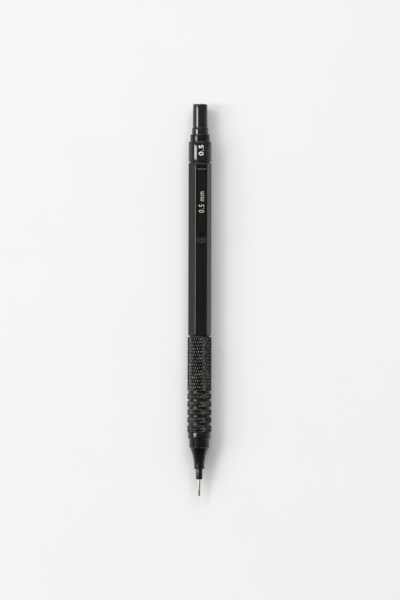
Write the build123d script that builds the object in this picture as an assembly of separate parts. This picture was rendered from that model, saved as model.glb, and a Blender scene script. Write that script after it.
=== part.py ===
"""Mechanical pencil for 0.5 mm leads, as an assembly of separate parts.

The pencil lies along Y with its lead towards -Y, its push button towards +Y and its clip up.
The origin is on the surface it lies on, half way along it. Places along the pencil are called
stations: the distance in millimetres from the point of the lead. Radii are from the pencil's axis.
"""
from build123d import *
from math import cos, radians, sin
import os

# ---------------------------------------------------------------- driving dimensions (mm)
LENGTH = 140.0            # point of the lead to the top of the button
GRIP_R = 4.3              # the widest turned part, so the pencil lies on it
AXIS_Z = GRIP_R           # height of the pencil's axis over the surface

HEX_CORNER_R = 4.2        # hexagonal barrel, axis to sharp corner
HEX_FILLET = 0.4          # rounding along its six edges
HEX_FLAT_R = HEX_CORNER_R * cos(radians(30))
BARREL_START, BARREL_END = 57.27, 118.85
BARREL_EDGE = 0.3         # chamfer round each end of the barrel
BARREL_BORE_R = 2.75
BUSH_SEAT_R = 3.2         # wider bore at both ends, for the threaded bushes

PRESS_TRAVEL = 2.4        # stroke of the push button
RING_TRAVEL = 1.2         # the clutch ring follows for half of it
FIT = 0.05                # radial clearance of a sliding fit
GAP = 0.1                 # gap between parts that pass each other

LEAD_R = 0.28             # a 0.5 mm lead is 0.56 mm thick
LEAD_LENGTH = 60.0
LEAD_FIT = 0.03

TUBE_R, TUBE_BORE_R = 2.15, 1.85
TUBE_START, TUBE_END = 46.8, 134.2

AXIS = Axis((0, 0, AXIS_Z), (0, 1, 0))

os.makedirs("parts", exist_ok=True)


# ---------------------------------------------------------------- helpers
def y_at(station):
    """Y of a station."""
    return station - LENGTH / 2


def turned(points):
    """Solid turned from an outline of (station, radius) corners."""
    outline = Polyline(*[(y_at(s), AXIS_Z + r) for s, r in points], close=True)
    return revolve(Plane.YZ * make_face(outline), AXIS, 360)


def ring_outline(start, end, outer, inner, front=0.0, rear=0.0):
    """Corners of a plain ring, with a chamfer on its outer front and rear edges."""
    corners = [(start, inner)]
    corners += [(start, outer - front), (start + front, outer)] if front else [(start, outer)]
    corners += [(end - rear, outer), (end, outer - rear)] if rear else [(end, outer)]
    return corners + [(end, inner)]


def ring(start, end, outer, inner, front=0.0, rear=0.0):
    """A turned ring or tube."""
    return turned(ring_outline(start, end, outer, inner, front, rear))


def rod(start, end, radius, offset_x=0.0, offset_z=0.0):
    """A plain cylinder along the pencil."""
    plane = Plane(origin=(offset_x, y_at(start), AXIS_Z + offset_z), x_dir=(1, 0, 0), z_dir=(0, 1, 0))
    return extrude(plane * Circle(radius), end - start)


def block(width, start, end, low, high):
    """A box across the pencil's centre line, between two stations and two heights over the axis."""
    box = Box(width, end - start, high - low)
    return Pos(0, y_at((start + end) / 2), AXIS_Z + (low + high) / 2) * box


def save(name, shape):
    """Write one named part as STEP."""
    shape.label = name
    export_step(shape, f"parts/{name}.step")


# ---------------------------------------------------------------- lead, sleeve and nose
LEAD_OUT = 2.28                       # how far the lead stands out of its sleeve
SLEEVE_START, SLEEVE_END = LEAD_OUT, 9.3
SLEEVE_R, SLEEVE_BORE_R = 0.45, LEAD_R + LEAD_FIT
HOLDER_START, HOLDER_R = 6.03, 1.16
SLEEVE_ROOT_R = 0.65                  # the sleeve is thicker where it is pressed into its holder
CONE_START = 9.7
HOLDER_END, HOLDER_SPIGOT_R = 12.2, 0.95

lead = rod(0, LEAD_LENGTH, LEAD_R)
lead_sleeve = turned([
    (SLEEVE_START, SLEEVE_BORE_R),
    (SLEEVE_START, SLEEVE_R - 0.08),
    (SLEEVE_START + 0.08, SLEEVE_R),
    (HOLDER_START, SLEEVE_R),
    (HOLDER_START, SLEEVE_ROOT_R),
    (SLEEVE_END, SLEEVE_ROOT_R),
    (SLEEVE_END, SLEEVE_BORE_R),
])

sleeve_holder = turned([
    (HOLDER_START, SLEEVE_ROOT_R),
    (HOLDER_START, HOLDER_R - 0.15),
    (HOLDER_START + 0.15, HOLDER_R),
    (CONE_START, HOLDER_R),
    (CONE_START, HOLDER_SPIGOT_R),
    (HOLDER_END, HOLDER_SPIGOT_R),
    (HOLDER_END, SLEEVE_BORE_R),
    (SLEEVE_END, SLEEVE_BORE_R),
    (SLEEVE_END, SLEEVE_ROOT_R),
])

# The outside of the nose: a small front face, a concave sweep into a straight cone, then two steps.
CONE_FRONT_R, CONE_FRONT_EDGE = 1.82, 0.25
SWEEP_START, SWEEP_R, SWEEP_ANGLE = 10.8, 14.8, 19.9
CONE_END, CONE_END_R = 17.2, 3.2
STEP_1_R, STEP_1_END = 3.58, 20.4
STEP_2_R, STEP_2_END = 4.03, 22.76
STEP_EDGE = 0.28
NOSE_THREAD_R, NOSE_THREAD_END = 2.9, 27.0

# The inside of the nose: holder, rubber retainer, room for the jaws, and the clutch ring's stop.
RETAINER_R, RETAINER_END = 1.3, 14.4
JAW_ROOM_R, JAW_ROOM_START = 1.8, 15.6
RING_R = 1.95
RING_START, RING_END = 19.0, 21.4
RING_STOP = RING_START - RING_TRAVEL - GAP
RING_ROOM_R = 2.15
HOUSING_R = 2.6

sweep_end = SWEEP_START + SWEEP_R * sin(radians(SWEEP_ANGLE))
sweep_end_r = CONE_FRONT_R + SWEEP_R * (1 - cos(radians(SWEEP_ANGLE)))
sweep_mid = SWEEP_START + SWEEP_R * sin(radians(SWEEP_ANGLE / 2))
sweep_mid_r = CONE_FRONT_R + SWEEP_R * (1 - cos(radians(SWEEP_ANGLE / 2)))


def place(station, radius):
    """Point of an outline in its own plane."""
    return (y_at(station), AXIS_Z + radius)


nose_front = [
    (CONE_START, HOLDER_SPIGOT_R),
    (CONE_START, CONE_FRONT_R - CONE_FRONT_EDGE),
    (CONE_START + CONE_FRONT_EDGE, CONE_FRONT_R),
    (SWEEP_START, CONE_FRONT_R),
]
nose_back = [
    (sweep_end, sweep_end_r),
    (CONE_END, CONE_END_R),
    (CONE_END + STEP_EDGE, STEP_1_R),
    (STEP_1_END, STEP_1_R),
    (STEP_1_END, STEP_2_R - STEP_EDGE),
    (STEP_1_END + STEP_EDGE, STEP_2_R),
    (STEP_2_END - STEP_EDGE / 2, STEP_2_R),
    (STEP_2_END, STEP_2_R - STEP_EDGE / 2),
    (STEP_2_END, NOSE_THREAD_R),
    (NOSE_THREAD_END, NOSE_THREAD_R),
    (NOSE_THREAD_END, HOUSING_R + FIT),
    (RING_END, HOUSING_R + FIT),
    (RING_END, RING_ROOM_R),
    (RING_STOP, RING_ROOM_R),
    (RING_STOP, JAW_ROOM_R),
    (JAW_ROOM_START, JAW_ROOM_R),
    (RETAINER_END, RETAINER_R),
    (HOLDER_END, RETAINER_R),
    (HOLDER_END, HOLDER_SPIGOT_R),
    (CONE_START, HOLDER_SPIGOT_R),
]
nose_wire = Polyline(*[place(s, r) for s, r in nose_front])
nose_wire += ThreePointArc(
    place(SWEEP_START, CONE_FRONT_R), place(sweep_mid, sweep_mid_r), place(sweep_end, sweep_end_r)
)
nose_wire += Polyline(*[place(s, r) for s, r in nose_back])
nose_cone = revolve(Plane.YZ * make_face(nose_wire), AXIS, 360)

lead_retainer = ring(HOLDER_END, RETAINER_END, RETAINER_R, SLEEVE_BORE_R)

# ---------------------------------------------------------------- chuck, clutch ring and its housing
CHUCK_START, HEAD_R, HEAD_BAND = 18.4, 1.45, 0.5
JAW_R = 0.95
JAW_END = 28.6
HEAD_END = 21.7                       # the head's taper runs into the shank of the jaws here
JAW_BORE_R = 0.4
JAW_SLIT = 0.14
HEAD_TAPER = (HEAD_R - JAW_R) / (HEAD_END - CHUCK_START - HEAD_BAND)

chuck_head = turned([
    (CHUCK_START, SLEEVE_BORE_R),
    (CHUCK_START, HEAD_R - 0.2),
    (CHUCK_START + 0.2, HEAD_R),
    (CHUCK_START + HEAD_BAND, HEAD_R),
    (HEAD_END, JAW_R),
    (JAW_END, JAW_R),
    (JAW_END, JAW_BORE_R),
    (CHUCK_START + 2.4, JAW_BORE_R),
    (CHUCK_START + 2.2, SLEEVE_BORE_R),
])
slit_blade = Pos(0, 0, HEAD_R) * Box(JAW_SLIT, 2 * (JAW_END - CHUCK_START), 2 * HEAD_R)
slit_plane = Pos(0, y_at((CHUCK_START + JAW_END) / 2), AXIS_Z)
JAW_COUNT = 3
for turn in range(JAW_COUNT):
    # The slits stand between the jaws: the first jaw is at the top.
    chuck_head -= slit_plane * Rot(0, 60 + 120 * turn, 0) * slit_blade
jaws = sorted(chuck_head.solids(), key=lambda jaw: (-round(jaw.center().Z, 3), jaw.center().X))

STEM_START, STEM_END = JAW_END + 0.02, 43.0
STEM_HEAD_R, STEM_HEAD_START = 1.25, 38.0
chuck_stem = turned([
    (STEM_START, JAW_BORE_R),
    (STEM_START, JAW_R),
    (STEM_HEAD_START, JAW_R),
    (STEM_HEAD_START, STEM_HEAD_R),
    (STEM_END, STEM_HEAD_R),
    (STEM_END, JAW_BORE_R),
])


def head_radius(station):
    """Radius of the chuck head's taper."""
    return HEAD_R - HEAD_TAPER * (station - CHUCK_START - HEAD_BAND)


RING_RELIEF = 0.05                    # the rear of the bore is opened, clear of the jaws when they spread
clutch_ring = turned([
    (RING_START, head_radius(RING_START) + FIT),
    (RING_START, RING_R - 0.1),
    (RING_START + 0.1, RING_R),
    (RING_END - 0.1, RING_R),
    (RING_END, RING_R - 0.1),
    (RING_END, head_radius(RING_END) + FIT + RING_RELIEF),
])

HOUSING_START, HOUSING_END = RING_END + GAP / 2, 43.5
HOUSING_COLLAR_END, HOUSING_COLLAR_R = 23.5, 1.35
HOUSING_BORE_R = 2.2
clutch_housing = turned([
    (HOUSING_START, HOUSING_COLLAR_R),
    (HOUSING_START, HOUSING_R),
    (HOUSING_END, HOUSING_R),
    (HOUSING_END, HOUSING_BORE_R),
    (HOUSING_COLLAR_END, HOUSING_BORE_R),
    (HOUSING_COLLAR_END, HOUSING_COLLAR_R),
])

# ---------------------------------------------------------------- return spring
WIRE_R = 0.17
SPRING_R = 1.75                       # to the middle of the wire
SPRING_TURNS = 11
COUPLING_START = 40.2
spring_start = HOUSING_COLLAR_END + WIRE_R + 0.02
spring_length = COUPLING_START - WIRE_R - 0.02 - spring_start
spring_plane = Plane(origin=(0, y_at(spring_start), AXIS_Z), x_dir=(1, 0, 0), z_dir=(0, 1, 0))
spring_path = spring_plane * Helix(pitch=spring_length / SPRING_TURNS, height=spring_length, radius=SPRING_R)
wire_plane = Plane(origin=spring_path @ 0, z_dir=spring_path % 0)
return_spring = sweep(wire_plane * Circle(WIRE_R), path=spring_path, is_frenet=True)

# ---------------------------------------------------------------- lead store and push button
COUPLING_R, COUPLING_END = 2.05, 50.8
tube_coupling = turned([
    (COUPLING_START, STEM_HEAD_R),
    (COUPLING_START, COUPLING_R),
    (TUBE_START, COUPLING_R),
    (TUBE_START, TUBE_BORE_R),
    (COUPLING_END, TUBE_BORE_R),
    (COUPLING_END, TUBE_BORE_R - 0.25),
    (COUPLING_END - 4.0, JAW_BORE_R),
    (STEM_END, JAW_BORE_R),
    (STEM_END, STEM_HEAD_R),
])
lead_tube = ring(TUBE_START, TUBE_END, TUBE_R, TUBE_BORE_R)

SPARE_START, SPARE_OFFSET, SPARE_COUNT = 63.0, 1.0, 3
spare_leads = Compound(children=[
    rod(
        SPARE_START,
        SPARE_START + LEAD_LENGTH,
        LEAD_R,
        SPARE_OFFSET * cos(radians(30 + 360 * turn / SPARE_COUNT)),
        SPARE_OFFSET * sin(radians(30 + 360 * turn / SPARE_COUNT)),
    )
    for turn in range(SPARE_COUNT)
])

CUP_START, CUP_R, CUP_WALL = 129.5, TUBE_BORE_R, 0.2
CUP_FLANGE_R, CUP_FLANGE = TUBE_R - 0.05, 0.3
ERASER_END = 137.6
eraser_cup = turned([
    (CUP_START, 0),
    (CUP_START, CUP_R),
    (TUBE_END, CUP_R),
    (TUBE_END, CUP_FLANGE_R),
    (TUBE_END + CUP_FLANGE, CUP_FLANGE_R),
    (TUBE_END + CUP_FLANGE, CUP_R - CUP_WALL),
    (CUP_START + CUP_WALL, CUP_R - CUP_WALL),
    (CUP_START + CUP_WALL, 0),
])
ERASER_R = CUP_R - CUP_WALL
eraser = turned([
    (CUP_START + CUP_WALL, 0),
    (CUP_START + CUP_WALL, ERASER_R),
    (ERASER_END - 0.3, ERASER_R),
    (ERASER_END, ERASER_R - 0.3),
    (ERASER_END, 0),
])

COLLAR_R, COLLAR_START, COLLAR_END = 2.9, 128.8, 131.5
COLLAR_EDGE = 0.2
COLLAR_LIP_R, COLLAR_LIP_END = 2.35, COLLAR_END + 0.1   # a low lip that the button stops just short of
button_collar = turned([
    (COLLAR_START, TUBE_R),
    (COLLAR_START, COLLAR_R - COLLAR_EDGE),
    (COLLAR_START + COLLAR_EDGE, COLLAR_R),
    (COLLAR_END - COLLAR_EDGE, COLLAR_R),
    (COLLAR_END, COLLAR_R - COLLAR_EDGE),
    (COLLAR_END, COLLAR_LIP_R),
    (COLLAR_LIP_END, COLLAR_LIP_R),
    (COLLAR_LIP_END, TUBE_R),
])

BUTTON_START = COLLAR_END + 0.12
BUTTON_R, BUTTON_TOP_R = 2.64, 2.56  # the button tapers a little towards its top
BUTTON_ROUND, BUTTON_CROWN = 0.35, 0.12
BUTTON_BORE_R, BUTTON_BORE_END = TUBE_R + FIT, 139.0
round_start = LENGTH - BUTTON_CROWN - BUTTON_ROUND
round_s = round_start + BUTTON_ROUND * sin(radians(45))
round_r = BUTTON_TOP_R - BUTTON_ROUND * (1 - cos(radians(45)))
crown_r = BUTTON_TOP_R - BUTTON_ROUND
button_outline = Polyline(
    place(LENGTH, crown_r / 2),
    place(LENGTH, 0),
    place(BUTTON_BORE_END, 0),
    place(BUTTON_BORE_END, BUTTON_BORE_R),
    place(BUTTON_START, BUTTON_BORE_R),
    place(BUTTON_START, BUTTON_R - 0.1),
    place(BUTTON_START + 0.1, BUTTON_R),
    place(round_start, BUTTON_TOP_R),
)
button_outline += ThreePointArc(
    place(round_start, BUTTON_TOP_R), place(round_s, round_r), place(LENGTH - BUTTON_CROWN, crown_r)
)
button_outline += Line(place(LENGTH - BUTTON_CROWN, crown_r), place(LENGTH, crown_r / 2))
push_button = revolve(Plane.YZ * make_face(button_outline), AXIS, 360)

# ---------------------------------------------------------------- grip
GRIP_START, GRIP_END = STEP_2_END, 56.84
GROOVE_FIRST, GROOVE_PITCH, GROOVE_COUNT = 25.73, 2.855, 5
GROOVE_FLOOR, GROOVE_R, GROOVE_EDGE = 0.7, 3.9, 0.25
GRIP_EDGE = 0.3
JOINT_R, JOINT_START = 3.3, 48.0
NOSE_SEAT_R = NOSE_THREAD_R + FIT
grip_profile = [(GRIP_START, NOSE_SEAT_R), (GRIP_START, GRIP_R - GRIP_EDGE), (GRIP_START + GRIP_EDGE, GRIP_R)]
for groove in range(GROOVE_COUNT):
    middle = GROOVE_FIRST + groove * GROOVE_PITCH
    grip_profile += [
        (middle - GROOVE_FLOOR / 2 - GROOVE_EDGE, GRIP_R),
        (middle - GROOVE_FLOOR / 2, GRIP_R - GROOVE_EDGE),
        (middle - GROOVE_FLOOR / 2, GROOVE_R),
        (middle + GROOVE_FLOOR / 2, GROOVE_R),
        (middle + GROOVE_FLOOR / 2, GRIP_R - GROOVE_EDGE),
        (middle + GROOVE_FLOOR / 2 + GROOVE_EDGE, GRIP_R),
    ]
grip_profile += [
    (GRIP_END - GRIP_EDGE, GRIP_R),
    (GRIP_END, GRIP_R - GRIP_EDGE),
    (GRIP_END, JOINT_R),
    (JOINT_START, JOINT_R),
    (JOINT_START, HOUSING_R),
    (NOSE_THREAD_END + GAP, HOUSING_R),
    (NOSE_THREAD_END + GAP, NOSE_SEAT_R),
]
grip = turned(grip_profile)

NECK_R = 3.5                          # the bush shows as a dark line between grip and barrel
JOINT_END, JOINT_BORE_R = 65.0, 2.4
joint_bush = turned([
    (JOINT_START, JOINT_BORE_R),
    (JOINT_START, JOINT_R),
    (GRIP_END, JOINT_R),
    (GRIP_END, NECK_R),
    (BARREL_START, NECK_R),
    (BARREL_START, BUSH_SEAT_R),
    (JOINT_END, BUSH_SEAT_R),
    (JOINT_END, JOINT_BORE_R),
])

# ---------------------------------------------------------------- barrel
SEAT_START = 110.0                    # the wider bore for the rear bush starts here
SLOT_START, SLOT_END, SLOT_WIDTH = 115.5, 117.55, 3.5
hex_plane = Plane(origin=(0, y_at(BARREL_START), AXIS_Z), x_dir=(1, 0, 0), z_dir=(0, 1, 0))
hexagon = hex_plane * RegularPolygon(HEX_CORNER_R, 6)
barrel = extrude(hexagon, BARREL_END - BARREL_START)
barrel = fillet(barrel.edges().filter_by(Axis.Y), HEX_FILLET)
end_faces = barrel.faces().filter_by(Axis.Y)
barrel = chamfer([edge for face in end_faces for edge in face.edges()], BARREL_EDGE)
barrel -= rod(BARREL_START, BARREL_END, BARREL_BORE_R)
barrel -= rod(BARREL_START, JOINT_END, BUSH_SEAT_R)
barrel -= rod(SEAT_START, BARREL_END, BUSH_SEAT_R)
barrel -= block(SLOT_WIDTH, SLOT_START, SLOT_END, 0.7 * HEX_FLAT_R, 1.2 * HEX_FLAT_R)

# ---------------------------------------------------------------- rear bush, size band and end ring
BAND_START, BAND_END, BAND_R = 119.35, 126.5, 4.08
BAND_EDGE = 0.25
BUSH_START, BUSH_END = 108.0, 126.2
BUSH_THREAD_END = 113.5               # in front of this it fills the barrel, behind it the clip has room
BUSH_R, BUSH_NECK_R, BUSH_BAND_R = 2.5, 3.45, 2.75
BUSH_BORE_R = TUBE_R + FIT
END_RING_SEAT, END_RING_SEAT_R = 124.5, 3.3
END_RING_END, END_RING_R = 129.1, 3.48

rear_bush = turned([
    (BUSH_START, BUSH_BORE_R),
    (BUSH_START, BARREL_BORE_R),
    (SEAT_START, BARREL_BORE_R),
    (SEAT_START, BUSH_SEAT_R),
    (BUSH_THREAD_END, BUSH_SEAT_R),
    (BUSH_THREAD_END, BUSH_R),
    (BARREL_END, BUSH_R),
    (BARREL_END, BUSH_NECK_R),
    (BAND_START, BUSH_NECK_R),
    (BAND_START, BUSH_BAND_R),
    (BUSH_END, BUSH_BAND_R),
    (BUSH_END, BUSH_BORE_R),
])
size_band = turned([
    (BAND_START, BUSH_BAND_R),
    (BAND_START, BAND_R - BAND_EDGE),
    (BAND_START + BAND_EDGE, BAND_R),
    (BAND_END - BAND_EDGE, BAND_R),
    (BAND_END, BAND_R - BAND_EDGE),
    (BAND_END, END_RING_SEAT_R),
    (END_RING_SEAT, END_RING_SEAT_R),
    (END_RING_SEAT, BUSH_BAND_R),
])
end_ring = turned([
    (END_RING_SEAT, COLLAR_R + FIT),
    (END_RING_SEAT, END_RING_SEAT_R),
    (BAND_END, END_RING_SEAT_R),
    (BAND_END, END_RING_R),
    (END_RING_END - BAND_EDGE, END_RING_R),
    (END_RING_END, END_RING_R - BAND_EDGE),
    (END_RING_END, COLLAR_R + FIT),
])

# ---------------------------------------------------------------- clip
CLIP_T = 0.4                          # thickness of the strip
ARM_HEIGHT = 0.75                     # middle of the arm over the facet
FOOT_END, FOOT_HEIGHT = 118.4, -0.83  # the foot lies under the barrel's end
BEND_AT = 116.9                       # where the strip comes up through the slot
PADDLE_START, PADDLE_LOW = 94.6, 92.6
LIP_END, LIP_HEIGHT = 89.9, 0.78
ARM_WIDTH, ROOT_WIDTH, FOOT_WIDTH, PADDLE_WIDTH = 2.5, 3.2, 1.8, 3.75
ROOT_START = 116.3                    # behind this the strip is wide
PADDLE_SHOULDER = 0.6
LIP_BULGE = 0.9                       # how far the round end of the paddle bulges


def facet_point(station, height):
    """Point over the top facet, in the side view's plane."""
    return place(station, HEX_FLAT_R + height)


clip_line = FilletPolyline(
    facet_point(FOOT_END, FOOT_HEIGHT),
    facet_point(BEND_AT, FOOT_HEIGHT),
    facet_point(BEND_AT, ARM_HEIGHT),
    facet_point(PADDLE_START, ARM_HEIGHT),
    facet_point(PADDLE_LOW, CLIP_T / 2 + GAP / 2),
    facet_point(LIP_END, LIP_HEIGHT),
    radius=[0.32, 0.45, 2.5, 1.6],
)
clip_side = Plane.YZ * trace(clip_line, CLIP_T)
clip_strip = extrude(clip_side, PADDLE_WIDTH, both=True)

half_arm, half_root, half_paddle = ARM_WIDTH / 2, ROOT_WIDTH / 2, PADDLE_WIDTH / 2
lip_corner = LIP_END + LIP_BULGE
plan_right = Polyline(
    (half_paddle, y_at(lip_corner)),
    (half_paddle, y_at(PADDLE_START - PADDLE_SHOULDER)),
    (half_arm, y_at(PADDLE_START)),
    (half_arm, y_at(ROOT_START - 0.4)),
    (half_root, y_at(ROOT_START)),
    (half_root, y_at(BEND_AT + 0.5)),
    (-half_root, y_at(BEND_AT + 0.5)),
    (-half_root, y_at(ROOT_START)),
    (-half_arm, y_at(ROOT_START - 0.4)),
    (-half_arm, y_at(PADDLE_START)),
    (-half_paddle, y_at(PADDLE_START - PADDLE_SHOULDER)),
    (-half_paddle, y_at(lip_corner)),
)
plan_lip = ThreePointArc(
    (-half_paddle, y_at(lip_corner)), (0, y_at(LIP_END - 0.1)), (half_paddle, y_at(lip_corner))
)
clip_plan = make_face(plan_right + plan_lip)
clip_upper = extrude(Pos(0, 0, AXIS_Z) * clip_plan, 2 * HEX_CORNER_R)
clip = clip_strip & (clip_upper + block(FOOT_WIDTH, BEND_AT, FOOT_END + 1, 0, HEX_FLAT_R))

# ---------------------------------------------------------------- write the parts
assembly = {
    "lead": lead,
    "lead_sleeve": lead_sleeve,
    "sleeve_holder": sleeve_holder,
    "nose_cone": nose_cone,
    "lead_retainer": lead_retainer,
    "chuck_stem": chuck_stem,
    "clutch_ring": clutch_ring,
    "clutch_housing": clutch_housing,
    "return_spring": return_spring,
    "tube_coupling": tube_coupling,
    "lead_tube": lead_tube,
    "spare_leads": spare_leads,
    "eraser_cup": eraser_cup,
    "eraser": eraser,
    "button_collar": button_collar,
    "push_button": push_button,
    "grip": grip,
    "joint_bush": joint_bush,
    "barrel": barrel,
    "rear_bush": rear_bush,
    "size_band": size_band,
    "end_ring": end_ring,
    "clip": clip,
}
assembly.update({f"chuck_jaw_{number}": jaw for number, jaw in enumerate(jaws, start=1)})

for name, shape in assembly.items():
    save(name, shape)
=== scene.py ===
# %% [markdown]
# # A black metal drafting pencil
# The pencil lies on a pale table: a hexagonal barrel, a knurled grip, a stepped nose with a steel lead
# sleeve, a spring-steel clip and a push button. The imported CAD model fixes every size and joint, and
# this lesson gives each visible piece a finer surface and a real finish. The frame is loaded first,
# because every place below is measured from it.

# %% Load the frame
import math

import bmesh
import bpy
import numpy as np
from mathutils import Matrix, Vector


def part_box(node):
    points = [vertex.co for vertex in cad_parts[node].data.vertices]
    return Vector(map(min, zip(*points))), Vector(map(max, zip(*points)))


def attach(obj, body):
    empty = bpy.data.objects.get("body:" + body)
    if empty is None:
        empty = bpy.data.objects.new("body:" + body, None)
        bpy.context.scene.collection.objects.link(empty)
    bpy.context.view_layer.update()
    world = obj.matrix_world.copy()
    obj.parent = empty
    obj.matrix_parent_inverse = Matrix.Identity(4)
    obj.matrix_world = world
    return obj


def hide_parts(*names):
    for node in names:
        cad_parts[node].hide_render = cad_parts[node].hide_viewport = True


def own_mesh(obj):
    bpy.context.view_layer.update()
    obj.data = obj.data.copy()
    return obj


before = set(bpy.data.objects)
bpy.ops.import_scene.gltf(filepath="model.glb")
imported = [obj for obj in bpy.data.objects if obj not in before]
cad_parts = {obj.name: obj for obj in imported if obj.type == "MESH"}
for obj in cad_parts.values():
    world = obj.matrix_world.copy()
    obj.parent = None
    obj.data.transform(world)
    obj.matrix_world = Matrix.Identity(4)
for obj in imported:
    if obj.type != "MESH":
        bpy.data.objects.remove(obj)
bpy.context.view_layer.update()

# %% [markdown]
# ## Measuring along the pencil
# A turner measures a shaft from one end. Here every place along the pencil is a station: millimetres
# from the point of the lead. A radius is measured from the pencil's axis, which is half way up the
# grip, its widest turned part. Ends and outer radii come from the boxes of the CAD nodes, so a piece
# lands on its CAD part without fitting. Steps and bores between them are given as numbers.

# %% Stations and radii
MM = 0.001
POINT_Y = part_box("lead")[0].y / MM
grip_low, grip_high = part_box("grip")
AXIS_Z = (grip_low.z + grip_high.z) / 2 / MM


def span(node):
    """Start station, end station and outer radius of a turned CAD node, in millimetres."""
    low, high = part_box(node)
    return low.y / MM - POINT_Y, high.y / MM - POINT_Y, (high.x - low.x) / 2 / MM


LENGTH = span("push_button")[1]
print("length", round(LENGTH, 2), "mm, axis", round(AXIS_Z, 2), "mm over the table")

# %% [markdown]
# ## One way to make a surface
# Each piece is a grid of points worked out in one go with numpy, rows by columns. The faces join
# neighbours, and a grid can close on itself either way, as a ring does. Points that fall together,
# such as those where a turned piece meets its axis, are merged, so poles and seams are closed, and
# then all the faces are turned outwards.

# %% Surfaces from grids
BEVEL_SHARP = math.radians(32)


def grid_faces(rows, columns, close_rows, close_columns):
    """Four-sided faces of a grid: corner (i, j), (i, j+1), (i+1, j+1), (i+1, j), wrapped where it closes."""
    i = np.arange(rows if close_rows else rows - 1)[:, None]
    j = np.arange(columns if close_columns else columns - 1)[None, :]
    below, beside = (i + 1) % rows, (j + 1) % columns
    corners = [i * columns + j, i * columns + beside, below * columns + beside, below * columns + j]
    return np.stack(np.broadcast_arrays(*corners), axis=-1).reshape(-1, 4)


def tidy_mesh(mesh, sharp=BEVEL_SHARP):
    """Merge doubled points, drop what collapsed, turn faces outwards and shade smooth but for sharp edges."""
    work = bmesh.new()
    work.from_mesh(mesh)
    bmesh.ops.remove_doubles(work, verts=work.verts, dist=1e-7)
    bmesh.ops.dissolve_degenerate(work, edges=work.edges, dist=1e-8)
    bmesh.ops.recalc_face_normals(work, faces=work.faces)
    work.to_mesh(mesh)
    work.free()
    mesh.shade_smooth()
    mesh.set_sharp_from_angle(angle=sharp)


def piece_from(name, points, faces, sharp=BEVEL_SHARP):
    """A Blender object from points in millimetres and faces."""
    mesh = bpy.data.meshes.new(name)
    metres = np.asarray(points).reshape(-1, 3) * MM
    mesh.from_pydata(metres.tolist(), [], [list(map(int, face)) for face in faces])
    tidy_mesh(mesh, sharp)
    piece = bpy.data.objects.new(name, mesh)
    bpy.context.scene.collection.objects.link(piece)
    return piece


def around(outline, angles):
    """Points of an outline of (station, radius) turned to each angle: x = r sin a, z = axis + r cos a."""
    outline = np.asarray(outline, float)
    station, radius = outline[:, 0][:, None], outline[:, 1][:, None]
    angles = np.broadcast_to(angles, (len(outline), np.shape(angles)[-1]))
    x, z = radius * np.sin(angles), AXIS_Z + radius * np.cos(angles)
    return np.stack([x, np.broadcast_to(POINT_Y + station, x.shape), z], axis=-1)


# %% [markdown]
# ## Turned outlines with broken edges
# No lathe leaves a razor edge: each corner is broken with a file or a small chamfer, and that narrow
# round is what catches the light. So an outline is a list of corners, each with how far its rounding
# reaches, and the rounding is a quadratic curve from one side of the corner to the other.

# %% Rounded outlines
def rounded(corners, steps=4):
    """Outline points of a closed list of (station, radius, reach) corners.

    A corner c between a and b, the points its reach away along its two sides, becomes the curve
    (1-t)^2 a + 2t(1-t) c + t^2 b. A reach of 0 leaves the corner as it is."""
    corners = [tuple(c) if len(c) == 3 else (*c, 0.0) for c in corners]
    places = np.array([c[:2] for c in corners], float)
    t = np.linspace(0, 1, steps + 1)[:, None]
    outline = []
    reaches = [corner[2] for corner in corners]
    for here, before, after, reach in zip(places, np.roll(places, 1, 0), np.roll(places, -1, 0), reaches):
        if reach == 0:
            outline.append(here[None])
            continue
        to_before, to_after = before - here, after - here
        a = here + to_before * min(reach / np.linalg.norm(to_before), 0.5)
        b = here + to_after * min(reach / np.linalg.norm(to_after), 0.5)
        outline.append((1 - t) ** 2 * a + 2 * t * (1 - t) * here + t**2 * b)
    return np.concatenate(outline)


TURN = np.linspace(0, 2 * math.pi, 128, endpoint=False)


def turned(name, corners, steps=4, angles=TURN):
    """A closed turned piece from the corners of its outline."""
    points = around(rounded(corners, steps), angles)
    return piece_from(name, points, grid_faces(len(points), len(angles), True, True))


def fit_on(piece, node, body, material):
    """Let a piece stand for its CAD node, ride on its body and wear its material."""
    piece.data.materials.clear()
    piece.data.materials.append(material)
    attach(piece, body)
    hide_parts(node)
    print(piece.name, len(piece.data.polygons), "faces on", body)
    return piece


# %% [markdown]
# ## Finishes
# Nearly everything shows black lacquer over metal, and it is the gloss that tells the pieces apart.
# Black lacquer has almost no colour of its own: what the eye sees is the room in its clear surface,
# which reflects 4% straight on and far more at a glance, so its IOR is 1.5 and its base is near
# black. One helper adds a node with its settings and links, and one turns a hex colour to linear.

# %% Node helper and colours
def colour(hex_code, alpha=1.0):
    """Linear colour of an sRGB hex code: (c/12.92) below 0.04045, else ((c+0.055)/1.055)^2.4."""
    srgb = np.array([int(hex_code[k:k + 2], 16) / 255 for k in (1, 3, 5)])
    linear = np.where(srgb <= 0.04045, srgb / 12.92, ((srgb + 0.055) / 1.055) ** 2.4)
    return (*linear.tolist(), alpha)


def add(tree, kind, links=(), **settings):
    """Add a node, set its properties and inputs by name, and link (input, source socket) pairs."""
    node = tree.nodes.new(kind)
    for key, value in settings.items():
        if hasattr(node, key):
            setattr(node, key, value)
        else:
            node.inputs[key.replace("_", " ")].default_value = value
    for socket, source in links:
        tree.links.new(source, node.inputs[socket])
    return node


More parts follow.
